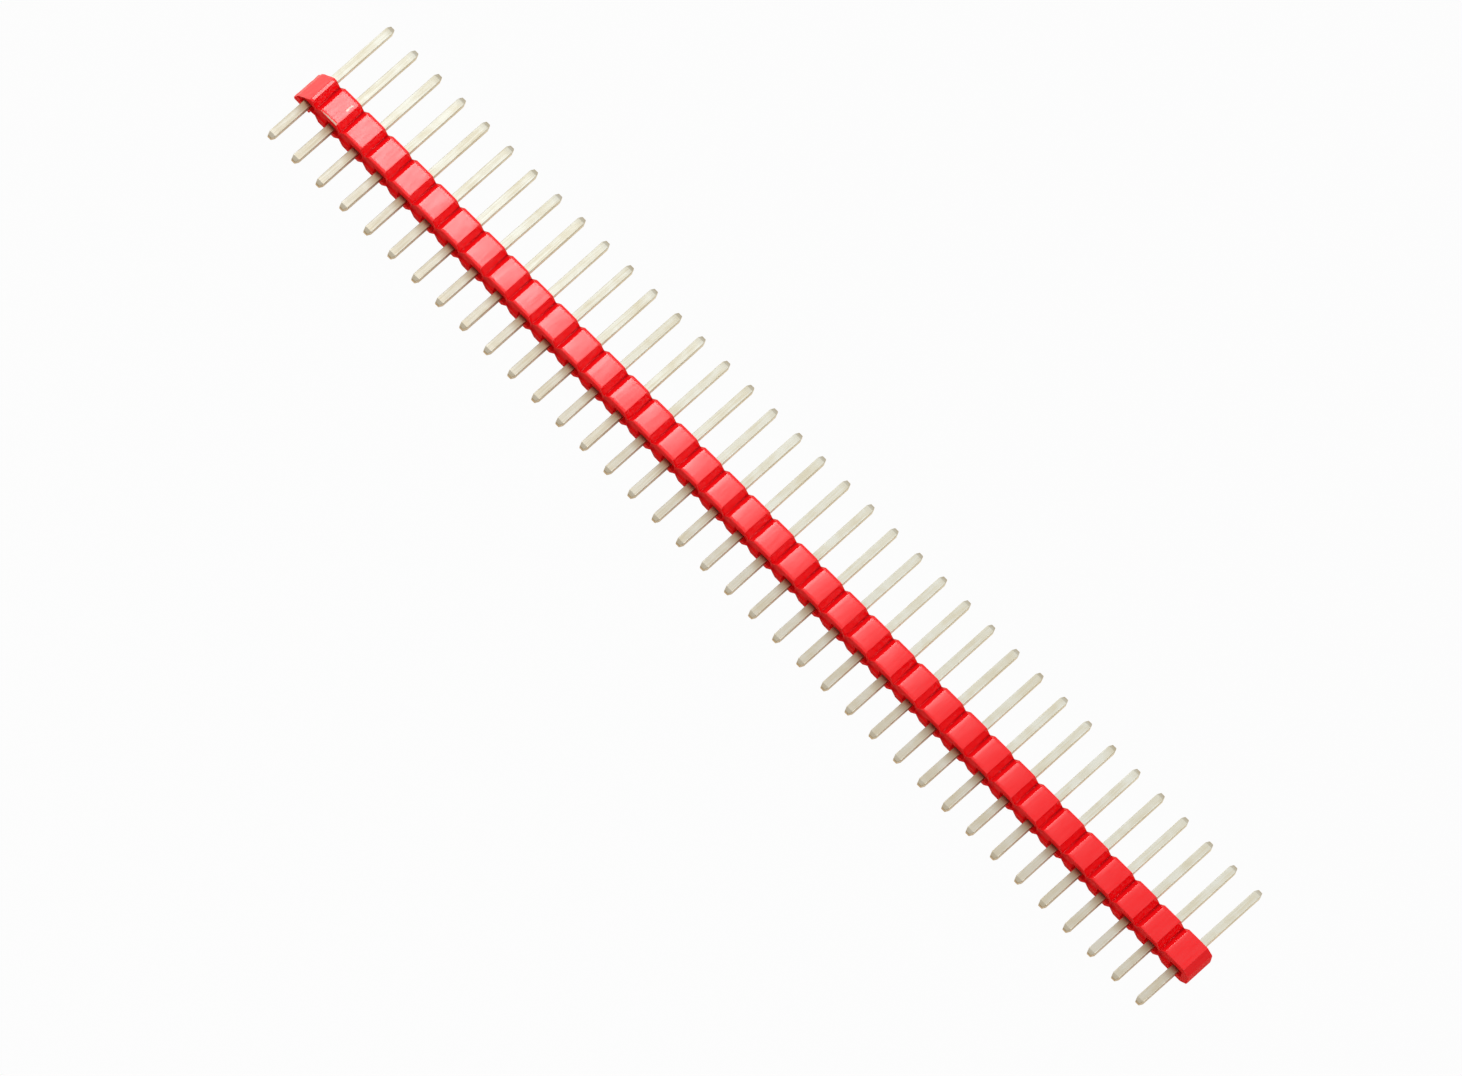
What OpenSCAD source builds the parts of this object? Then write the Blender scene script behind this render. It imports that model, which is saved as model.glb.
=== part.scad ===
// Breakaway pin header strip: one moulded housing that holds a row of square pins.
// The strip lies on its side. X runs along the row, +Y toward the long mating ends,
// +Z up. The origin is the centre of the strip's box, at the height of the underside.

/* [Strip] */
// Number of pins left on the strip
pin_count = 37; // [2:1:50]
// Distance between neighbouring pins
pitch = 2.54; // [2.1:0.01:5.08]

/* [Housing] */
// Depth of the housing, measured along the pins
body_depth = 2.54; // [1.8:0.01:6]
// Height of the housing, square to the pins
body_height = 2.54; // [2.1:0.01:5]
// Width of each sloping side of the notches where segments snap apart
notch_slope = 0.445; // [0.2:0.005:0.6]
// Depth of those notches, above and below
notch_depth = 0.62; // [0.2:0.01:0.8]
// How far the notches stand off the middle between two pins, toward the first pin
notch_offset = 0.42; // [0:0.01:0.5]
// Length of housing past the last pin, up to the moulded end
end_length = 1.28; // [1:0.01:4]
// Length of the chamfers at the moulded end, measured along the strip
end_chamfer_length = 0.58; // [0.1:0.01:0.65]
// Height of the chamfers at the moulded end
end_chamfer_height = 0.55; // [0.1:0.01:0.8]

/* [Tail face] */
// Height of the shallow channel along the tail face
channel_height = 0.84; // [0.7:0.01:1]
// Depth of that channel
channel_depth = 0.12; // [0.02:0.01:0.3]
// Width of the pocket around each pin
pocket_width = 1.26; // [0.8:0.01:1.5]
// Height of the pocket around each pin
pocket_height = 1.16; // [1.1:0.01:1.25]
// Depth of the pockets
pocket_depth = 0.35; // [0.31:0.01:1]

/* [Broken end] */
// Where the oblique break leaves the top, past the first pin's centre
break_top = 0.15; // [0:0.01:0.25]
// How far the break has run at its knee, before the first pin's centre
break_knee = 0.95; // [0.8:0.01:1.1]
// Height of the knee above the underside
break_knee_height = 1.24; // [1.1:0.01:1.5]
// How far the break reaches at its foot, before the first pin's centre
break_foot = 1.32; // [1.15:0.01:1.6]
// Height of the foot above the underside
break_foot_height = 0.3; // [0.1:0.01:0.5]
// Height of the chip lost from the lower tail edge beside the first pin
chip_height = 0.58; // [0.3:0.01:0.6]
// How far the chip runs in under the housing
chip_depth = 1.05; // [0.3:0.01:1.5]

/* [Pins] */
// Width and height of the square pins
pin_width = 0.64; // [0.4:0.01:0.8]
// Length of the tails, from the housing to their tips
tail_length = 3.9; // [2:0.01:20]
// Length of the mating ends, from the housing to their tips
mating_length = 6.26; // [2:0.01:20]
// Width and height of the small flat at the end of each tip
tip_width = 0.38; // [0.1:0.01:0.39]
// Length of each tapered tip
tip_length = 0.34; // [0.1:0.01:1]
// Gap between each side of a pin and its hole
hole_clearance = 0.01; // [0.01:0.01:0.05]

/* [Hidden] */
pin_axis_height = body_height / 2;
pin_length = tail_length + body_depth + mating_length;
hole_width = pin_width + 2 * hole_clearance;
row_length = (pin_count - 1) * pitch;
body_front = -body_depth / 2;
body_back = body_depth / 2;
strip_left = -break_foot;
strip_right = row_length + end_length;
// A cut reaches this far past the surface that it opens
overcut = 1;
// The centre of the whole box, measured from the first pin and the housing's middle
box_middle = [(strip_left + strip_right) / 2, (mating_length - tail_length) / 2, 0];

function pin_name(i) = str("pin_", i < 10 ? "0" : "", i);
function pin_x(i) = (i - 1) * pitch;
function notch_x(i) = pin_x(i) + pitch / 2 - notch_offset;

// Draws its children in the strip's own frame, measured from the first pin
module place_strip() {
    translate(-box_middle) children();
}

// Stands an outline drawn in X and Z upright, and extrudes it from y0 to y1
module extrude_along_y(y0, y1) {
    translate([0, y1, 0]) rotate([90, 0, 0]) linear_extrude(y1 - y0) children();
}

// One notch of the upper edge, from right to left
function top_notch(i) = [
    [notch_x(i) + notch_slope, body_height],
    [notch_x(i), body_height - notch_depth],
    [notch_x(i) - notch_slope, body_height]
];

// One notch of the lower edge, from left to right
function bottom_notch(i) = [
    [notch_x(i) - notch_slope, 0],
    [notch_x(i), notch_depth],
    [notch_x(i) + notch_slope, 0]
];

// The housing's outline in X and Z: the broken end, the feet, the moulded end, the top
module housing_outline() {
    broken_end = [
        [break_top, body_height],
        [-break_knee, break_knee_height],
        [-break_foot, break_foot_height],
        [-break_foot + break_foot_height / 4, 0]
    ];
    feet = [for (i = [1 : pin_count - 1]) each bottom_notch(i)];
    moulded_end = [
        [strip_right - end_chamfer_length, 0],
        [strip_right, end_chamfer_height],
        [strip_right, body_height - end_chamfer_height],
        [strip_right - end_chamfer_length, body_height]
    ];
    top = [for (i = [pin_count - 1 : -1 : 1]) each top_notch(i)];
    polygon(concat(broken_end, feet, moulded_end, top));
}

// The wedge broken out of the lower tail edge between the first pin and its notch
module chip() {
    chip_start = pin_width / 2;
    chip_end = notch_x(1);
    translate([chip_start, 0, 0]) rotate([90, 0, 90]) linear_extrude(chip_end - chip_start)
        polygon([
            [body_front - overcut, -overcut],
            [body_front - overcut, chip_height],
            [body_front, chip_height],
            [body_front + chip_depth, 0],
            [body_front + chip_depth, -overcut]
        ]);
}

// A rectangular recess in the tail face, centred on the height of the pins
module tail_face_cut(x0, x1, height, depth) {
    translate([x0, body_front - overcut, pin_axis_height - height / 2])
        cube([x1 - x0, overcut + depth, height]);
}

// Square through hole for one pin
module pin_hole(i) {
    translate([pin_x(i) - hole_width / 2, body_front - overcut, pin_axis_height - hole_width / 2])
        cube([hole_width, body_depth + 2 * overcut, hole_width]);
}

// The housing as moulded and as broken off: one solid with a hole for every pin
module housing() {
    channel_end = pin_x(pin_count) + pocket_width / 2;
    color("crimson") place_strip() difference() {
        extrude_along_y(body_front, body_back) housing_outline();
        chip();
        tail_face_cut(strip_left - overcut, channel_end, channel_height, channel_depth);
        for (i = [1 : pin_count]) {
            tail_face_cut(pin_x(i) - pocket_width / 2, pin_x(i) + pocket_width / 2,
                pocket_height, pocket_depth);
            pin_hole(i);
        }
    }
}

// A pin seen square to one of its sides, along Y, with both tips tapered
module pin_outline() {
    y0 = body_front - tail_length;
    y1 = y0 + pin_length;
    polygon([
        [-tip_width / 2, y0],
        [tip_width / 2, y0],
        [pin_width / 2, y0 + tip_length],
        [pin_width / 2, y1 - tip_length],
        [tip_width / 2, y1],
        [-tip_width / 2, y1],
        [-pin_width / 2, y1 - tip_length],
        [-pin_width / 2, y0 + tip_length]
    ]);
}

// One square pin, its tips tapered on all four sides
module pin(i) {
    color("lightgray") place_strip() translate([pin_x(i), 0, pin_axis_height]) intersection() {
        linear_extrude(pin_width, center = true) pin_outline();
        rotate([0, 90, 0]) linear_extrude(pin_width, center = true) pin_outline();
    }
}

housing();
for (i = [1 : pin_count]) {
    pin(i);
}
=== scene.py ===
import math

import bmesh
import bpy
import numpy as np
from mathutils import Matrix, Vector


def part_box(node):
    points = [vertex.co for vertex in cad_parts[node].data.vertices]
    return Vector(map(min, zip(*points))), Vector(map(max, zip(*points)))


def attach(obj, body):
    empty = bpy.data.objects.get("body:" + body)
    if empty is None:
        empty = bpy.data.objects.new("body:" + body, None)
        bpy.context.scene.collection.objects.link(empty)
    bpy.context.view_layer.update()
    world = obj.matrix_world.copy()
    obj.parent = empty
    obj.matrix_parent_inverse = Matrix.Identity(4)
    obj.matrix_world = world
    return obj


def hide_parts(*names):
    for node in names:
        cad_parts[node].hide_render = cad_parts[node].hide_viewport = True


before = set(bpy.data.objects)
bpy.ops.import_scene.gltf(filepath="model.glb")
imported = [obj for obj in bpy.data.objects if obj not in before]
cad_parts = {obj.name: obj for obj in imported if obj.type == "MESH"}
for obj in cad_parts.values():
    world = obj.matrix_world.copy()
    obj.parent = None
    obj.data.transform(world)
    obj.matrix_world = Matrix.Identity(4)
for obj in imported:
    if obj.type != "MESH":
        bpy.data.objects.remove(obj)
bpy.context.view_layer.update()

# ---------------------------------------------------------------- housing
# One long moulding of glass-filled polyester that holds every pin: a chain of eight-sided
# segments with a snap notch above and below between each pair. The strip was snapped off a
# longer one, so the end by the first pin is a torn slope with a chip gone under it.

MM = 0.001   # metres in a millimetre
pin_nodes = sorted(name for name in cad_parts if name.startswith("pin_"))
pin_boxes = np.array([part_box(name) for name in pin_nodes]) / MM
pin_x = pin_boxes[:, :, 0].mean(axis=1)
pin_axis_z = pin_boxes[0, :, 2].mean()
pin_width = np.ptp(pin_boxes[0, :, 0])
pitch = pin_x[1] - pin_x[0]
(left, front, bottom), (right, back, top) = np.array(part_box("housing")) / MM

# All sizes are in millimetres, as the part's source has them.
notch_slope, notch_depth, notch_offset = 0.445, 0.62, 0.42
end_chamfer_length, end_chamfer_height = 0.58, 0.55
channel_height, channel_depth = 0.84, 0.12
pocket_width, pocket_height, pocket_depth = 1.26, 1.16, 0.35
break_top, break_knee, break_knee_height, break_foot_height = 0.15, 0.95, 1.24, 0.3
chip_height, chip_depth = 0.58, 1.05
hole_gap = 0.01        # between a pin and each wall of its hole
hole_width = pin_width + 2 * hole_gap
mould_radius = 0.06    # rounding of the long edges along the front and back
ridge_radius = 0.05    # rounding where a flat turns into a notch
valley_radius = 0.02   # rounding at the bottom of a notch
draft = 0.02           # how far the walls of the channel and pockets lean
crown = 0.022          # how much higher each flat is in its middle than at its edges
crease_shade_reach = 0.11     # how far the painted shade line in a notch reaches up its two slopes
tear_height = 0.03     # how far the torn slope and the chip stand up and sink in
foot_ragged = 0.05     # how far the foot of the torn end is eaten back

notch_x = pin_x[:-1] + pitch / 2 - notch_offset


def rounded_outline(corners, radius, steps=5):
    """Line through the corners, with each inner corner swapped for a quadratic curve that
    starts and ends radius * tan(half the turn) away from it, along its two sides. Radius
    is one number for each inner corner."""
    before, at, after = corners[:-2], corners[1:-1], corners[2:]
    back_length = np.linalg.norm(before - at, axis=1, keepdims=True)
    on_length = np.linalg.norm(after - at, axis=1, keepdims=True)
    back_way, on_way = (before - at) / back_length, (after - at) / on_length
    turn = np.pi - np.arccos(np.clip((back_way * on_way).sum(axis=1, keepdims=True), -1, 1))
    cut = radius[:, None] * np.tan(turn / 2)
    cut = np.minimum(cut, 0.4 * np.minimum(back_length, on_length))
    t = np.linspace(0, 1, steps)[None, :, None]
    start, end = (at + back_way * cut)[:, None], (at + on_way * cut)[:, None]
    curve = (1 - t) ** 2 * start + 2 * t * (1 - t) * at[:, None] + t ** 2 * end
    return np.vstack([corners[:1], curve.reshape(-1, 2), corners[-1:]])


def edge_outlines():
    """Upper and lower edge of the housing in X and Z, from the torn end to the moulded end:
    a notch is three corners, and the torn end runs down over its knee to a shared foot."""
    peak = np.array([-notch_slope, 0, notch_slope])
    notch_points = (notch_x[:, None] + peak).ravel()
    dip = np.tile([0, notch_depth, 0], len(notch_x))
    first, foot = pin_x[0], [left, break_foot_height]
    upper = [foot, [first - break_knee, break_knee_height], [first + break_top, top]]
    upper += [*np.stack([notch_points, top - dip], axis=1)]
    upper += [[right - end_chamfer_length, top], [right, top - end_chamfer_height]]
    lower = [foot, [left + break_foot_height / 4, bottom]]
    lower += [*np.stack([notch_points, bottom + dip], axis=1)]
    lower += [[right - end_chamfer_length, bottom], [right, bottom + end_chamfer_height]]
    in_notch = np.isin(np.array(upper)[1:-1, 0], notch_x)
    radius = np.where(in_notch, valley_radius, ridge_radius)
    return (rounded_outline(np.array(upper), radius),
            rounded_outline(np.array(lower), radius[1:]))


def crumple(u, v, seed, longest, octaves=5):
    """Uneven height from about -1 to 1: sine waves in random directions are added, each
    half as long and 0.6 times as high as the one before it. Three waves of height 1 seldom
    add up to more than 1.6, so the sum is divided by that."""
    rng = np.random.default_rng(seed)
    height, total = 0.0, 0.0
    for octave in range(octaves):
        length, share = longest / 2 ** octave, 0.6 ** octave
        for _ in range(3):
            angle, phase = rng.uniform(0, 2 * np.pi, 2)
            along = u * np.cos(angle) + v * np.sin(angle)
            height = height + share * np.sin(2 * np.pi * along / length + phase)
        total += share * 1.6
    return height / total


def ease(value, low, high):
    """0 below low and 1 above high, with the cubic 3t^2 - 2t^3 between them."""
    t = np.clip((value - low) / (high - low), 0, 1)
    return t * t * (3 - 2 * t)


def housing_columns(upper, lower):
    """X of every cross-section: all outline points, both sides of each hole, pocket wall,
    chip wall and painted shade line, a few on each flat, and close ones over the torn slope."""
    half_pocket, half_hole = pocket_width / 2, hole_width / 2
    walls = np.array([-half_pocket, -half_pocket + draft, -half_hole,
                      half_hole, half_pocket - draft, half_pocket])
    flat_middle = np.append(notch_x, pin_x[-1] + pitch / 2 - notch_offset) - pitch / 2
    flat_steps = np.linspace(-0.5, 0.5, 5)
    torn_steps = np.arange(left, pin_x[0] + break_top, 0.07)
    chip_start, chip_end = pin_x[0] + pin_width / 2, notch_x[0]
    chip_walls = [chip_start, chip_start + draft, chip_end - draft, chip_end]
    turn = np.radians([0, 30, 60, 90])
    end_round = right - mould_radius + mould_radius * np.sin(turn)
    crease_shade_sides = notch_x[:, None] + np.array([-crease_shade_reach, crease_shade_reach])
    columns = np.concatenate([
        upper[:, 0], lower[:, 0], (pin_x[:, None] + walls).ravel(),
        (flat_middle[:, None] + flat_steps).ravel(), torn_steps, chip_walls,
        end_round, crease_shade_sides.ravel()])
    return np.unique(np.round(columns, 3))


def housing_surface():
    """Points of the closed skin, one ring of points round each cross-section: up the front
    face, over the top, down the back and under the bottom, with an arc at each corner. The
    marks say for each point how torn and how satin it is, how much painted shade it has and
    how much painted highlight, and the two rows are where the pins' holes start, going up the
    front and down the back."""
    upper, lower = edge_outlines()
    x = housing_columns(upper, lower)
    # The last few sections shrink by radius * (1 - cos) toward the moulded end's flat face.
    past = np.clip((x - (right - mould_radius)) / mould_radius, 0, 1)
    shrink = mould_radius * (1 - np.sqrt(1 - past ** 2))
    y0, y1 = front + shrink, back - shrink

    segment = (x - (pin_x[0] - notch_offset) + pitch / 2) % pitch - pitch / 2
    sink = crown * np.clip(np.abs(segment) / (pitch / 2 - notch_slope), 0, 1) ** 2
    # The tear fades out over the last 0.06 mm before the first flat, and the crumpling and
    # the sink fade in over 0.12 mm from the foot.
    torn = 1 - ease(x, pin_x[0] + break_top - 0.06, pin_x[0] + break_top)
    from_foot = ease(x, left, left + 0.12)

    def top_height(y):
        """The upper outline, less the sink, and crumpled where the end was torn."""
        edge = np.interp(x, upper[:, 0], upper[:, 1]) - sink * from_foot
        rough = tear_height * crumple(x[:, None] * 1.5, y, seed=11, longest=1.4)
        ragged = rough * (torn * from_foot)[:, None]
        return (edge - shrink)[:, None] + ragged

    def bottom_height(y):
        """The lower outline, raised to a rough slope where the chip broke away."""
        edge = (np.interp(x, lower[:, 0], lower[:, 1]) + sink * from_foot + shrink)[:, None]
        inside = (x > pin_x[0] + pin_width / 2 + draft / 2) & (x < notch_x[0] - draft / 2)
        slope = chip_height * (1 - (y - front) / chip_depth)
        slope = slope + tear_height * crumple(x[:, None], y, seed=5, longest=0.4)
        return np.where(inside[:, None], np.maximum(edge, slope), edge), inside

    # Torn edges keep 0.3 of the moulded rounding, and the thin foot has less.
    gap = top_height(y0[:, None])[:, 0] - bottom_height(y0[:, None])[0][:, 0]
    radius = np.minimum(mould_radius * (1 - 0.7 * torn), 0.3 * np.maximum(gap, 0))
    lows, highs = y0 + radius, y1 - radius
    span = np.linspace(0, 1, 10)
    rows_y = lows[:, None] + (highs - lows)[:, None] * span
    top_z = top_height(rows_y)
    bottom_z, chipped = bottom_height(rows_y)
    bottom_z = np.minimum(bottom_z, top_z)

    def wall_rows(levels, low, high):
        """Heights from low to high by way of the fixed levels that lie between them."""
        inner = np.clip(levels, (low + radius)[:, None], (high - radius)[:, None])
        return np.column_stack([low + radius, inner, high - radius])

    def recess(z):
        """Depth of the tail face: a channel along it and a deeper pocket round each pin."""
        off_axis = np.abs(z - pin_axis_z)
        near_pin = np.abs(x[:, None, None] - pin_x).min(axis=2)
        in_channel = (off_axis < channel_height / 2 - draft / 2)
        in_channel = in_channel & (x < pin_x[-1] + pocket_width / 2 - draft / 2)[:, None]
        in_pocket = (off_axis < pocket_height / 2 - draft / 2)
        in_pocket = in_pocket & (near_pin < pocket_width / 2 - draft / 2)
        return np.where(in_pocket, pocket_depth, np.where(in_channel, channel_depth, 0))

    def pair(height):
        """Both edges of a leaning wall that is height tall, as distances from the axis."""
        return np.array([height / 2, height / 2 - draft])

    steps = np.concatenate([pair(pocket_height), pair(channel_height), [hole_width / 2]])
    front_levels = np.concatenate([pin_axis_z - steps, (pin_axis_z + steps)[::-1]])
    back_levels = pin_axis_z + hole_width / 2 * np.array([-1, 1])
    front_z = wall_rows(front_levels, bottom_z[:, 0], top_z[:, 0])
    # The lowest and highest row are given height 0, where nothing is recessed, and nor is a
    # row that had to move to stay inside the outline.
    front_y = y0[:, None] + recess(np.column_stack([
        np.zeros_like(x), np.tile(front_levels, (len(x), 1)), np.zeros_like(x)]))
    clipped = np.abs(front_z[:, 1:-1] - front_levels) > draft / 4
    front_y[:, 1:-1][clipped] = np.broadcast_to(y0[:, None], clipped.shape)[clipped]
    back_z = wall_rows(back_levels, bottom_z[:, -1], top_z[:, -1])[:, ::-1]
    back_y = np.broadcast_to(y1[:, None], back_z.shape)

    def arc(y_centre, z_centre, degrees):
        """Points inside a rounded corner, radius away from its centre."""
        turn = np.radians(degrees)
        return (y_centre[:, None] + radius[:, None] * np.cos(turn),
                z_centre[:, None] + radius[:, None] * np.sin(turn))

    arcs = [arc(lows, top_z[:, 0] - radius, [150, 120]),
            arc(highs, top_z[:, -1] - radius, [60, 30]),
            arc(highs, bottom_z[:, -1] + radius, [-30, -60]),
            arc(lows, bottom_z[:, 0] + radius, [-120, -150])]
    ring_y = np.hstack([front_y, arcs[0][0], rows_y, arcs[1][0],
                        back_y, arcs[2][0], rows_y[:, ::-1], arcs[3][0]])
    ring_z = np.hstack([front_z, arcs[0][1], top_z, arcs[1][1],
                        back_z, arcs[2][1], bottom_z[:, ::-1], arcs[3][1]])
    # The ragged foot is eaten back by up to foot_ragged, and less over the next 0.7 mm.
    near_foot = foot_ragged * (1 - ease(x, left, left + 0.7))[:, None]
    shift = near_foot * (1 + crumple(ring_y, ring_z * 2, seed=23, longest=0.8)) / 2
    points = np.stack([x[:, None] + shift, ring_y, ring_z], axis=2)

    top_part = slice(front_z.shape[1], front_z.shape[1] + 4 + rows_y.shape[1])
    bottom_part = slice(ring_y.shape[1] - 2 - rows_y.shape[1], None)
    tear = np.zeros(ring_y.shape)
    tear[:, top_part] = torn[:, None]
    tear[:, bottom_part] = chipped[:, None] * (ring_y < front + chip_depth)[:, bottom_part]
    # The tool is left satin on the front, the back and the moulded end.
    satin = np.zeros(ring_y.shape)
    satin[:, :front_z.shape[1]] = 1
    back_start = front_z.shape[1] + 4 + rows_y.shape[1]
    satin[:, back_start:back_start + back_z.shape[1]] = 1
    satin = np.maximum(satin, ease(x, right - 0.05, right)[:, None])
    # Painted shade stands in for the shade in each notch: a dark line along its bottom that goes
    # from 0.15 at the front to 0.7 at the back, and a film of 0.3 over the slope past it.
    past_notch = x - notch_x[np.abs(x[:, None] - notch_x).argmin(axis=1)]
    line = 1 - ease(np.abs(past_notch), 0.02, crease_shade_reach)
    far_slope = (past_notch > 0) * (1 - ease(past_notch, notch_slope - 0.06, notch_slope))
    crease_shade = line[:, None] * (0.15 + 0.55 * ease(ring_y, front, back))
    crease_shade = np.maximum(crease_shade, 0.3 * far_slope[:, None])
    # A painted highlight on the second segment: pale flecks along the front edge of its upper
    # flat and in one line across the flat, 0.5 mm past its middle, stand in for glints
    # there.
    from_middle = (x - (pin_x[1] - notch_offset))[:, None]
    along = (ring_y - front) / (back - front)
    on_top = np.zeros(ring_y.shape, bool)
    on_top[:, top_part] = True
    edge = (np.abs(from_middle) < 0.8) & (along < 0.04)
    glint_line = (np.abs(from_middle - 0.5) < 0.02) & (along > 0.5) & (along < 0.85)
    painted_glint = on_top * (edge | glint_line)
    marks = {"torn": tear, "satin": satin, "crease_shade": crease_shade, "painted_glint": painted_glint}
    hole_row, back_hole_row = len(steps), back_start + 1
    return points, marks, x, hole_row, back_hole_row


def skin_faces(points, x, hole_row, back_hole_row):
    """Quads between neighbouring rings, less those over the pins' holes, then the four
    walls of each hole and one face over the moulded end."""
    rings, count = points.shape[:2]
    index = np.arange(rings * count).reshape(rings, count)
    nxt = np.roll(index, -1, axis=1)
    quads = np.stack([index[:-1], index[1:], nxt[1:], nxt[:-1]], axis=2)
    middle = (x[:-1] + x[1:]) / 2
    over_hole = np.abs(middle[:, None] - pin_x).min(axis=1) < hole_width / 2
    keep = np.ones(quads.shape[:2], bool)
    keep[over_hole, hole_row] = False
    keep[over_hole, back_hole_row] = False
    low_pair, high_pair = (hole_row, back_hole_row + 1), (hole_row + 1, back_hole_row)
    at = np.flatnonzero(over_hole)
    floors = [np.stack([index[at, a], index[at, b], index[at + 1, b], index[at + 1, a]], axis=1)
              for a, b in (low_pair, high_pair)]
    sides = [np.abs(x[:, None] - (pin_x + way * hole_width / 2)).argmin(axis=0) for way in (-1, 1)]
    walls = [np.stack([index[k, hole_row], index[k, hole_row + 1],
                       index[k, back_hole_row], index[k, back_hole_row + 1]], axis=1)
             for k in sides]
    faces = np.vstack([quads[keep], *floors, *walls]).tolist()
    return faces + [index[-1].tolist()]


def mesh_piece(name, points, faces, attributes, sharp=40):
    """Mesh object from points in millimetres: doubles are merged, faces turned outward,
    edges that bend more than sharp degrees kept crisp, and the rest shaded smooth."""
    mesh = bpy.data.meshes.new(name)
    mesh.from_pydata((points.reshape(-1, 3) * MM).tolist(), [], faces)
    for attribute, values in attributes.items():
        layer = mesh.attributes.new(attribute, "FLOAT", "POINT")
        layer.data.foreach_set("value", values.ravel().astype(np.float32))
    shell = bmesh.new()
    shell.from_mesh(mesh)
    bmesh.ops.remove_doubles(shell, verts=shell.verts, dist=1e-7)
    bmesh.ops.dissolve_degenerate(shell, edges=shell.edges, dist=1e-7)
    bmesh.ops.recalc_face_normals(shell, faces=shell.faces)
    shell.to_mesh(mesh)
    shell.free()
    mesh.shade_smooth()
    mesh.set_sharp_from_angle(angle=math.radians(sharp))
    piece = bpy.data.objects.new(name, mesh)
    bpy.context.scene.collection.objects.link(piece)
    weighted = piece.modifiers.new("even_shading", "WEIGHTED_NORMAL")
    weighted.keep_sharp = True
    return piece


def colour(code):
    """Linear colour from an sRGB hex code: each channel c is c / 12.92 up to 0.04045, and
    ((c + 0.055) / 1.055) ** 2.4 above it."""
    srgb = np.array([int(code[i:i + 2], 16) for i in (1, 3, 5)]) / 255
    linear = np.where(srgb <= 0.04045, srgb / 12.92, ((srgb + 0.055) / 1.055) ** 2.4)
    return (*linear, 1.0)


def add(material, kind, links=None, values=None, **settings):
    """Adds one node to a material's tree: settings go on the node, values on its sockets,
    and each socket named in links is fed from the output given for it."""
    tree = material.node_tree
    node = tree.nodes.new("ShaderNode" + kind)
    for name, value in settings.items():
        setattr(node, name, value)
    for name, value in (values or {}).items():
        node.inputs[name].default_value = value
    for name, source in (links or {}).items():
        tree.links.new(source, node.inputs[name])
    return node


def new_material(name):
    """A new material with one plain shader: gives the material, the shader, and the output
    of object coordinates, which are in metres."""
    material = bpy.data.materials.new(name)
    material.use_nodes = True
    material.node_tree.nodes.clear()
    output = add(material, "OutputMaterial")
    shader = add(material, "BsdfPrincipled")
    material.node_tree.links.new(shader.outputs["BSDF"], output.inputs["Surface"])
    place = add(material, "TexCoord").outputs["Object"]
    return material, shader, place


def link(material, source, target):
    """Feeds one socket from another."""
    material.node_tree.links.new(source, target)


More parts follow.
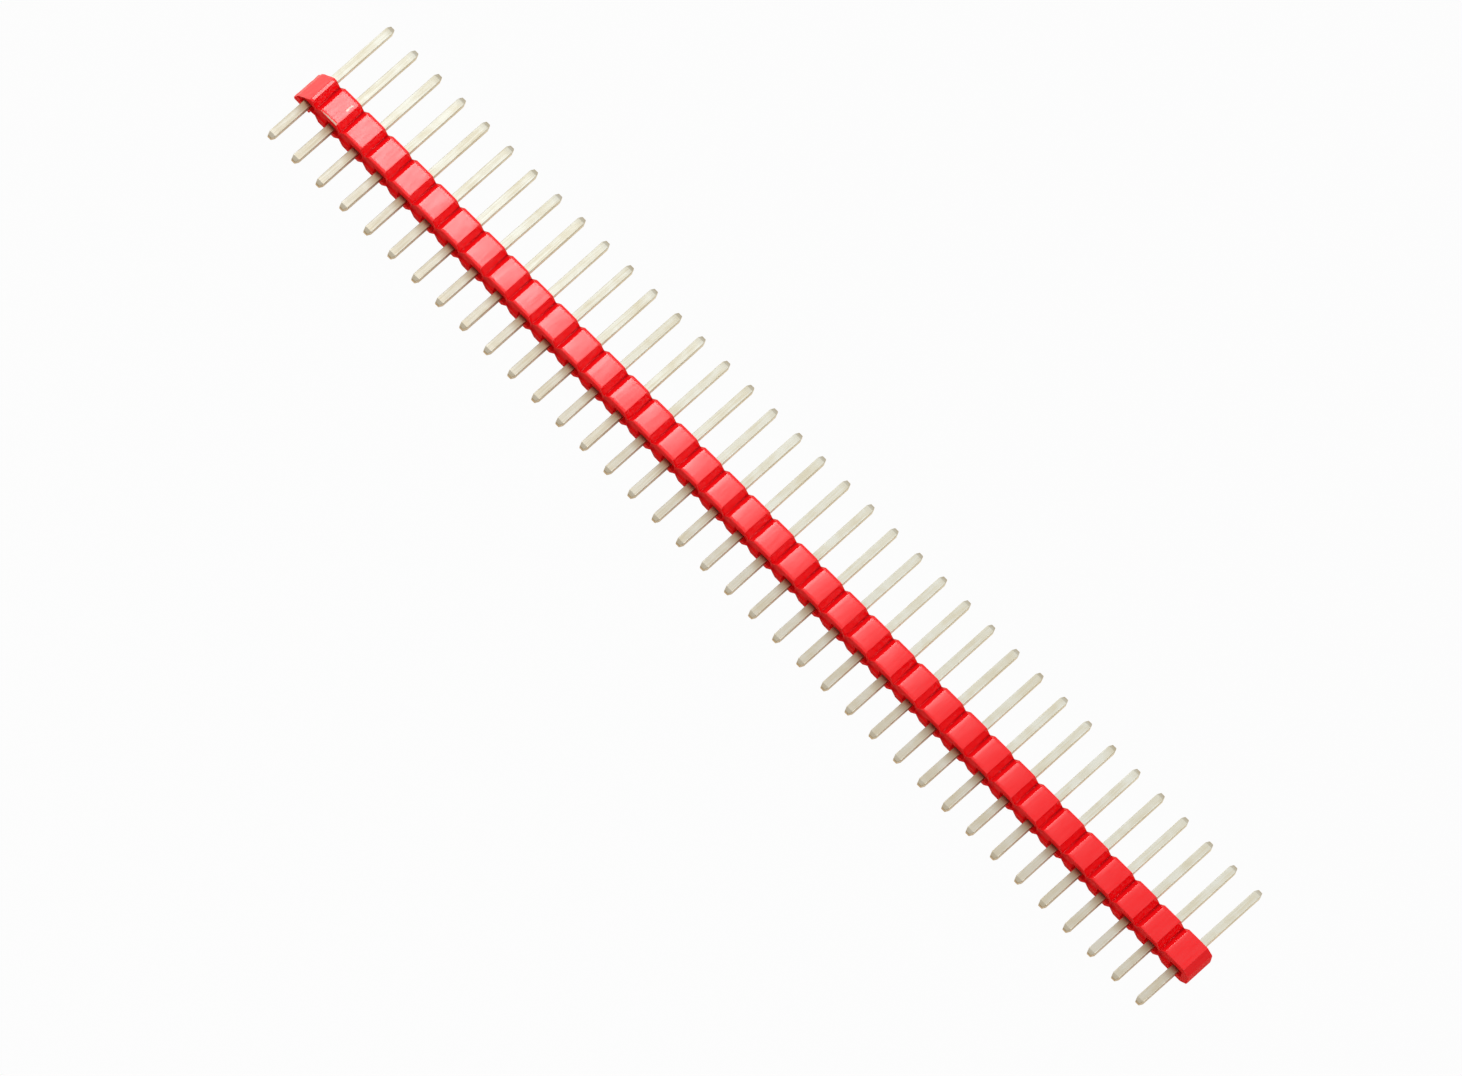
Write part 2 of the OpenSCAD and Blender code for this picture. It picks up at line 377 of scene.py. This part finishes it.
def moulded_red_polyester():
    """Glass-filled polyester from a tool polished above and below and satin on the sides: an
    even red under a clean gloss that the glass fibres break up a little, paler where torn."""
    material, shader, place = new_material("moulded_red_polyester")
    torn = add(material, "Attribute", attribute_name="torn").outputs["Fac"]
    # The pigment is a little uneven, in patches about 0.9 mm across.
    patches = add(material, "TexNoise", {"Vector": place}, {"Scale": 1 / 0.0009, "Detail": 3.0})
    red = add(material, "Mix", {"Factor": patches.outputs["Fac"]}, data_type="RGBA")
    red.inputs["A"].default_value = colour("#f4060d")
    red.inputs["B"].default_value = colour("#fa0a12")
    # The tool was stoned across the strip, which leaves faint lines. Real ones are about
    # 0.03 mm apart, drawn here at 0.2 mm.
    stoned = add(material, "Mapping", {"Vector": place},
                 {"Scale": (1 / 0.0002, 1 / 0.0016, 1 / 0.0002)})
    grain = add(material, "TexNoise", {"Vector": stoned.outputs[0]}, {"Scale": 1.0, "Detail": 3.0})
    pale = add(material, "Mix", {"Factor": torn, "A": red.outputs["Result"]}, data_type="RGBA")
    pale.inputs["B"].default_value = colour("#fc4248")
    # Painted shade lies along the bottom of each notch and thinly over its far slope, and
    # has no gloss.
    crease_shade = add(material, "Attribute", attribute_name="crease_shade").outputs["Fac"]
    crease_shaded = add(material, "Mix", {"Factor": crease_shade, "A": pale.outputs["Result"]}, data_type="RGBA")
    crease_shaded.inputs["B"].default_value = colour("#960a14")
    # The painted highlight is a row of pale flecks about 0.2 mm long.
    painted_glint = add(material, "Attribute", attribute_name="painted_glint").outputs["Fac"]
    flecks = add(material, "TexNoise", {"Vector": place}, {"Scale": 1 / 0.0002, "Detail": 2.0})
    glint_flecks = add(material, "Math", {0: painted_glint, 1: flecks.outputs["Fac"]}, operation="MULTIPLY")
    glint_level = add(material, "MapRange", {"Value": glint_flecks.outputs[0]},
                 {"From Min": 0.3, "From Max": 0.45, "To Min": 0.0, "To Max": 0.85})
    glinted = add(material, "Mix", {"Factor": glint_level.outputs["Result"],
                                   "A": crease_shaded.outputs["Result"]}, data_type="RGBA")
    glinted.inputs["B"].default_value = colour("#cdc2ac")
    link(material, glinted.outputs["Result"], shader.inputs["Base Color"])
    gloss = add(material, "MapRange", {"Value": grain.outputs["Fac"]},
                {"From Min": 0.3, "From Max": 0.7, "To Min": 0.1, "To Max": 0.16})
    satin = add(material, "Attribute", attribute_name="satin").outputs["Fac"]
    sides = add(material, "Mix", {"Factor": satin, "A": gloss.outputs["Result"]}, {"B": 0.6})
    rough = add(material, "Mix", {"Factor": torn, "A": sides.outputs["Result"]}, {"B": 0.35})
    link(material, rough.outputs["Result"], shader.inputs["Roughness"])
    bright = add(material, "MapRange", {"Value": grain.outputs["Fac"]},
                 {"From Min": 0.3, "From Max": 0.7, "To Min": 0.6, "To Max": 0.42})
    sheen = add(material, "Mix", {"Factor": satin, "A": bright.outputs["Result"]}, {"B": 0.13})
    dull = add(material, "Mix", {"Factor": crease_shade, "A": sheen.outputs["Result"]}, {"B": 0.0})
    link(material, dull.outputs["Result"], shader.inputs["Specular IOR Level"])
    # The stoned lines are 0.002 mm deep, and the torn parts have hackles 0.3 mm across.
    skin = add(material, "Bump", {"Height": grain.outputs["Fac"]},
               {"Strength": 1.0, "Distance": 0.002 * MM})
    hackle = add(material, "TexNoise", {"Vector": place}, {"Scale": 1 / 0.0003, "Detail": 4.0})
    tear = add(material, "Math", {0: hackle.outputs["Fac"], 1: torn}, operation="MULTIPLY")
    tear_bump = add(material, "Bump", {"Height": tear.outputs[0], "Normal": skin.outputs[0]},
                    {"Strength": 0.3, "Distance": 0.02 * MM})
    link(material, tear_bump.outputs["Normal"], shader.inputs["Normal"])
    shader.inputs["IOR"].default_value = 1.52
    return material


points, marks, section_x, hole_row, back_hole_row = housing_surface()
housing = mesh_piece("housing_moulding", points,
                     skin_faces(points, section_x, hole_row, back_hole_row), marks)
housing.data.materials.append(moulded_red_polyester())
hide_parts("housing")
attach(housing, "root")

# ---------------------------------------------------------------- pins
# Each pin is cut from square brass wire that was drawn, tin-plated and coined to a blunt
# four-sided point at both ends, then pressed through its hole until the tail stands out.

tip_width, tip_length = 0.38, 0.34
corner_radius = 0.05      # of the wire's four long edges
sideways_stray = 0.018    # how far a free end usually is off its straight line 6 mm out
pin_low, pin_high = pin_boxes[:, 0, 1], pin_boxes[:, 1, 1]


def wire_section(corner, steps=4):
    """Unit square with rounded corners, as (x, z) points round it: each corner is a
    quarter circle of the given radius, counted in half widths."""
    turn = np.linspace(0, np.pi / 2, steps)
    quarter = np.stack([1 - corner + corner * np.cos(turn),
                        1 - corner + corner * np.sin(turn)], axis=1)
    spins = [quarter, np.stack([-quarter[:, 1], quarter[:, 0]], axis=1), -quarter,
             np.stack([quarter[:, 1], -quarter[:, 0]], axis=1)]
    return np.vstack(spins)


def pin_rings(number):
    """Rings of one pin along Y: the section is scaled down in a straight line over each
    tip, and the free ends stray sideways with the square of their distance from the hole.
    The tail is browner with painted shade for the housing's shadow and reflection, faintly all
    along it and most over the 1.6 mm next to the housing. The tin is gone from the sheared
    ends, half gone beside them and whole past the tips."""
    rng = np.random.default_rng(100 + number)
    low, high = pin_low[number], pin_high[number]
    small = tip_width / pin_width
    # The rim of each end is rounded over 0.03 mm and the shoulder of its tip over 0.04 mm.
    along = np.array([0, 0, 0.012, 0.03, tip_length - 0.02, tip_length + 0.02, 0.8, 1.6])
    size = np.array([0, small - 0.05, small - 0.01, small + 0.03, 0.985, 1, 1, 1])
    by_housing = front + np.array([-1.4, -1.05, -0.7, -0.35, 0, 0.3])
    y = np.concatenate([low + along, by_housing, high - along[::-1]])
    scale = np.concatenate([size, np.ones(len(by_housing)), size[::-1]]) * pin_width / 2
    section = wire_section(2 * corner_radius / pin_width)
    roll = np.radians(rng.normal(0, 0.5))
    turned = section @ np.array([[np.cos(roll), np.sin(roll)], [-np.sin(roll), np.cos(roll)]])
    reach = np.where(y < front, y - front, np.where(y > back, y - back, 0))
    by_end = rng.normal(0, sideways_stray, (2, 2))[(y > 0).astype(int)]
    stray = by_end * (reach / 6)[:, None] ** 2
    ring = np.empty((len(y), len(section), 3))
    ring[:, :, 0] = pin_x[number] + scale[:, None] * turned[:, 0] + stray[:, :1]
    ring[:, :, 1] = y[:, None]
    ring[:, :, 2] = pin_axis_z + scale[:, None] * turned[:, 1] + stray[:, 1:]
    from_end = np.minimum(y - low, high - y)
    cut = np.where(from_end < 0.01, 1, 0.5 * (1 - ease(from_end, 0, tip_length + 0.1)))
    # Painted shade for the housing's shadow and reflection on the tail: 0.25 all along it, rising
    # to 1 over the 1.6 mm next to the housing.
    housing_shade = (y < front + 0.1) * (0.25 + 0.75 * ease(y, front - 1.6, front))
    marks = {"cut": np.repeat(cut, len(section)), "housing_shade": np.repeat(housing_shade, len(section))}
    return ring, marks


def tube_faces(points):
    """Quads between each ring and the next; the end rings are single points when merged."""
    rings, count = points.shape[:2]
    index = np.arange(rings * count).reshape(rings, count)
    nxt = np.roll(index, -1, axis=1)
    return np.stack([index[:-1], index[1:], nxt[1:], nxt[:-1]], axis=2).reshape(-1, 4).tolist()


def tin_plated_brass():
    """Bright tin over drawn brass wire: a warm grey metal with fine lines along the wire and
    slight yellowing in patches, browner with painted shade on the tails, and brass where
    coined or sheared."""
    material, shader, place = new_material("tin_plated_brass")
    shader.inputs["Metallic"].default_value = 1.0
    # Die lines run along the wire. Real ones are about 0.03 mm wide, drawn here at 0.1 mm.
    stretched = add(material, "Mapping", {"Vector": place},
                    {"Scale": (1 / 0.0001, 1 / 0.003, 1 / 0.0001)})
    lines = add(material, "TexNoise", {"Vector": stretched.outputs[0]},
                {"Scale": 1.0, "Detail": 2.0})
    # The tin yellows in patches about 1.2 mm across.
    patches = add(material, "TexNoise", {"Vector": place}, {"Scale": 1 / 0.0012, "Detail": 4.0})
    both = add(material, "Math", {0: patches.outputs["Fac"], 1: lines.outputs["Fac"]})
    tone = add(material, "MapRange", {"Value": both.outputs[0]},
               {"From Min": 0.8, "From Max": 1.25})
    tin = add(material, "Mix", {"Factor": tone.outputs["Result"]}, data_type="RGBA")
    tin.inputs["A"].default_value = colour("#ecebde")
    tin.inputs["B"].default_value = colour("#dfd8c0")
    # Painted shade: the tails turn brown towards the housing, for its shadow and reflection.
    housing_shade = add(material, "Attribute", attribute_name="housing_shade").outputs["Fac"]
    shaded_tin = add(material, "Mix", {"Factor": housing_shade, "A": tin.outputs["Result"]}, data_type="RGBA")
    shaded_tin.inputs["B"].default_value = colour("#9c8062")
    cut = add(material, "Attribute", attribute_name="cut").outputs["Fac"]
    bare = add(material, "Mix", {"Factor": cut, "A": shaded_tin.outputs["Result"]}, data_type="RGBA")
    bare.inputs["B"].default_value = colour("#c4ad84")
    link(material, bare.outputs["Result"], shader.inputs["Base Color"])
    shine = add(material, "MapRange", {"Value": lines.outputs["Fac"]},
                {"From Min": 0.3, "From Max": 0.7, "To Min": 0.26, "To Max": 0.36})
    link(material, shine.outputs["Result"], shader.inputs["Roughness"])
    drawn = add(material, "Bump", {"Height": lines.outputs["Fac"]},
                {"Strength": 0.4, "Distance": 0.004 * MM})
    link(material, drawn.outputs["Normal"], shader.inputs["Normal"])
    return material


tin = tin_plated_brass()
pins = []
for number, node in enumerate(pin_nodes):
    rings, marks = pin_rings(number)
    # The sides of a coined tip lean by about 20 degrees, and the edges round them are crisp.
    pin = mesh_piece("tinned_" + node, rings, tube_faces(rings), marks, sharp=10)
    pin.data.materials.append(tin)
    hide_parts(node)
    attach(pin, "root")
    pins.append(pin)

# ---------------------------------------------------------------- table
# The strip lies on its side over a white sheet that glows and so takes no shadow. Just above
# that lies a cream card the camera doesn't see, which the strip reflects and is lit by.

table_half = 1.5   # metres
table_corners = [(-table_half, -table_half), (table_half, -table_half),
                 (table_half, table_half), (-table_half, table_half)]


def flat_sheet(name, depth, material):
    """Square sheet that lies depth millimetres under the strip and is no part of it."""
    sheet = bpy.data.meshes.new(name)
    sheet.from_pydata([(x, y, -depth * MM) for x, y in table_corners], [], [(0, 1, 2, 3)])
    sheet.materials.append(material)
    table = bpy.data.objects.new(name, sheet)
    bpy.context.scene.collection.objects.link(table)
    return table


def glowing_white():
    """Opal acrylic lit from behind: an even white with no shading of its own."""
    material, shader, place = new_material("glowing_opal_acrylic")
    material.cycles.emission_sampling = "NONE"
    # The white drifts by one step in 255 over about 0.2 m.
    cloud = add(material, "TexNoise", {"Vector": place}, {"Scale": 1 / 0.2, "Detail": 2.0})
    white = add(material, "Mix", {"Factor": cloud.outputs["Fac"]}, data_type="RGBA")
    white.inputs["A"].default_value = colour("#fcfcfc")
    white.inputs["B"].default_value = colour("#fdfdfd")
    link(material, white.outputs["Result"], shader.inputs["Emission Color"])
    shader.inputs["Emission Strength"].default_value = 1.0
    shader.inputs["Base Color"].default_value = colour("#000000")
    shader.inputs["Specular IOR Level"].default_value = 0.0
    return material


def cream_card():
    """Uncoated cream card: matt, so it gives the strip's sides a warm even light."""
    material, shader, _ = new_material("uncoated_cream_card")
    shader.inputs["Base Color"].default_value = colour("#fff4e2")
    shader.inputs["Roughness"].default_value = 1.0
    shader.inputs["Specular IOR Level"].default_value = 0.0
    return material


glow = flat_sheet("white_table", 0.03, glowing_white())
glow.visible_diffuse, glow.visible_glossy, glow.visible_shadow = False, False, False
card = flat_sheet("cream_card", 0.02, cream_card())
card.visible_camera = False

# ---------------------------------------------------------------- light
# A pale tent that darkens towards the table, a low soft box on the left and a high one on the
# right. Two glowing cloths over the torn end fade along the strip: one lights only the
# housing and the other only the pins.


def only_lights(lamp, name, pieces):
    """Keeps the lamp's light to the given pieces."""
    lit = bpy.data.collections.new(name)
    for piece in pieces:
        lit.objects.link(piece)
    lamp.light_linking.receiver_collection = lit


def soft_box(name, place, aim, width, height, radiance):
    """Rectangular area light at place, turned to face aim, with all sizes in metres. A flat
    lamp gives off pi * area * radiance watts."""
    lamp = bpy.data.lights.new(name, "AREA")
    lamp.shape = "RECTANGLE"
    lamp.size, lamp.size_y = width, height
    lamp.energy = math.pi * width * height * radiance
    light = bpy.data.objects.new(name, lamp)
    light.location = place
    light.rotation_euler = (Vector(aim) - Vector(place)).to_track_quat("-Z", "Y").to_euler()
    bpy.context.scene.collection.objects.link(light)


def fading_cloth(name, low, high, height, fade, radiance):
    """Level glowing rectangle from corner low to corner high. Its light grows from nothing
    at its right edge with the square of the distance from there, over the length fade."""
    sheet = bpy.data.meshes.new(name)
    sheet.from_pydata([(low[0], low[1], height), (low[0], high[1], height),
                       (high[0], high[1], height), (high[0], low[1], height)], [], [(0, 1, 2, 3)])
    material = bpy.data.materials.new("glowing_diffuser_cloth")
    material.use_nodes = True
    material.node_tree.nodes.clear()
    place = add(material, "TexCoord").outputs["Object"]
    along = add(material, "SeparateXYZ", {"Vector": place}).outputs["X"]
    near = add(material, "MapRange", {"Value": along})
    near.inputs["From Min"].default_value = high[0]
    near.inputs["From Max"].default_value = high[0] - fade
    glow = add(material, "Math", {0: near.outputs["Result"]}, {1: 2.0}, operation="POWER")
    light = add(material, "Emission", {"Color": glow.outputs[0]}, {"Strength": radiance})
    clear = add(material, "BsdfTransparent")
    both = add(material, "AddShader", {0: light.outputs[0], 1: clear.outputs[0]})
    add(material, "OutputMaterial", {"Surface": both.outputs[0]})
    sheet.materials.append(material)
    cloth = bpy.data.objects.new(name, sheet)
    bpy.context.scene.collection.objects.link(cloth)
    cloth.visible_camera = False
    return cloth


tent = bpy.data.worlds.new("pale_tent")
tent.use_nodes = True
way = add(tent, "TexCoord").outputs["Generated"]
brightest_way = (-0.18, 0.30, 0.94)
facing = add(tent, "VectorMath", {0: way}, {1: brightest_way}, operation="DOT_PRODUCT")
shade = add(tent, "MapRange", {"Value": facing.outputs["Value"]},
            {"From Min": 0.3, "From Max": 0.95, "To Min": 0.36, "To Max": 0.86},
            interpolation_type="SMOOTHSTEP")
link(tent, shade.outputs["Result"], tent.node_tree.nodes["Background"].inputs["Strength"])
tent.node_tree.nodes["Background"].inputs["Color"].default_value = colour("#ffffff")
tent.cycles.sampling_method = "NONE"
bpy.context.scene.world = tent
soft_box("left_soft_box", (-0.48, -0.06, 0.34), (0, 0, 0), 0.35, 0.35, 2.0)
soft_box("right_soft_box", (0.27, -0.04, 0.52), (0, 0, 0), 0.35, 0.35, 1.5)
cloth = fading_cloth("fading_cloth", (-0.13, 0.030), (0.015, 0.070), 0.16, 0.08, 6.8)
only_lights(cloth, "lit_by_cloth", [housing])
pin_cloth = fading_cloth("pin_cloth", (-0.13, 0.0), (-0.03, 0.058), 0.165, 0.02, 0.7)
only_lights(pin_cloth, "lit_by_pin_cloth", pins)
bpy.context.scene.view_settings.view_transform = "Standard"

# ---------------------------------------------------------------- camera
# A long lens looks down on the strip from the moulded end's side, rolled so that the strip
# runs from the upper left to the lower right.

view_azimuth = math.radians(31.20)
view_elevation = math.radians(69.44)
view_roll = math.radians(15.35)
view_distance = 2.2016   # metres
aim = Vector((-0.23, -3.07, 1.27)) * MM
back_way = Vector((math.sin(view_azimuth) * math.cos(view_elevation),
                   -math.cos(view_azimuth) * math.cos(view_elevation),
                   math.sin(view_elevation)))
level = Vector((math.cos(view_azimuth), math.sin(view_azimuth), 0))
upright = back_way.cross(level)
sideways = level * math.cos(view_roll) + upright * math.sin(view_roll)
upward = upright * math.cos(view_roll) - level * math.sin(view_roll)
lens = bpy.data.cameras.new("long_lens")
lens.sensor_width = 36.0
lens.lens = 738.7
lens.clip_start, lens.clip_end = 0.1, 20.0
camera = bpy.data.objects.new("long_lens", lens)
camera.matrix_world = Matrix.Translation(aim + back_way * view_distance) @ Matrix(
    (sideways, upward, back_way)).transposed().to_4x4()
bpy.context.scene.collection.objects.link(camera)
bpy.context.scene.camera = camera
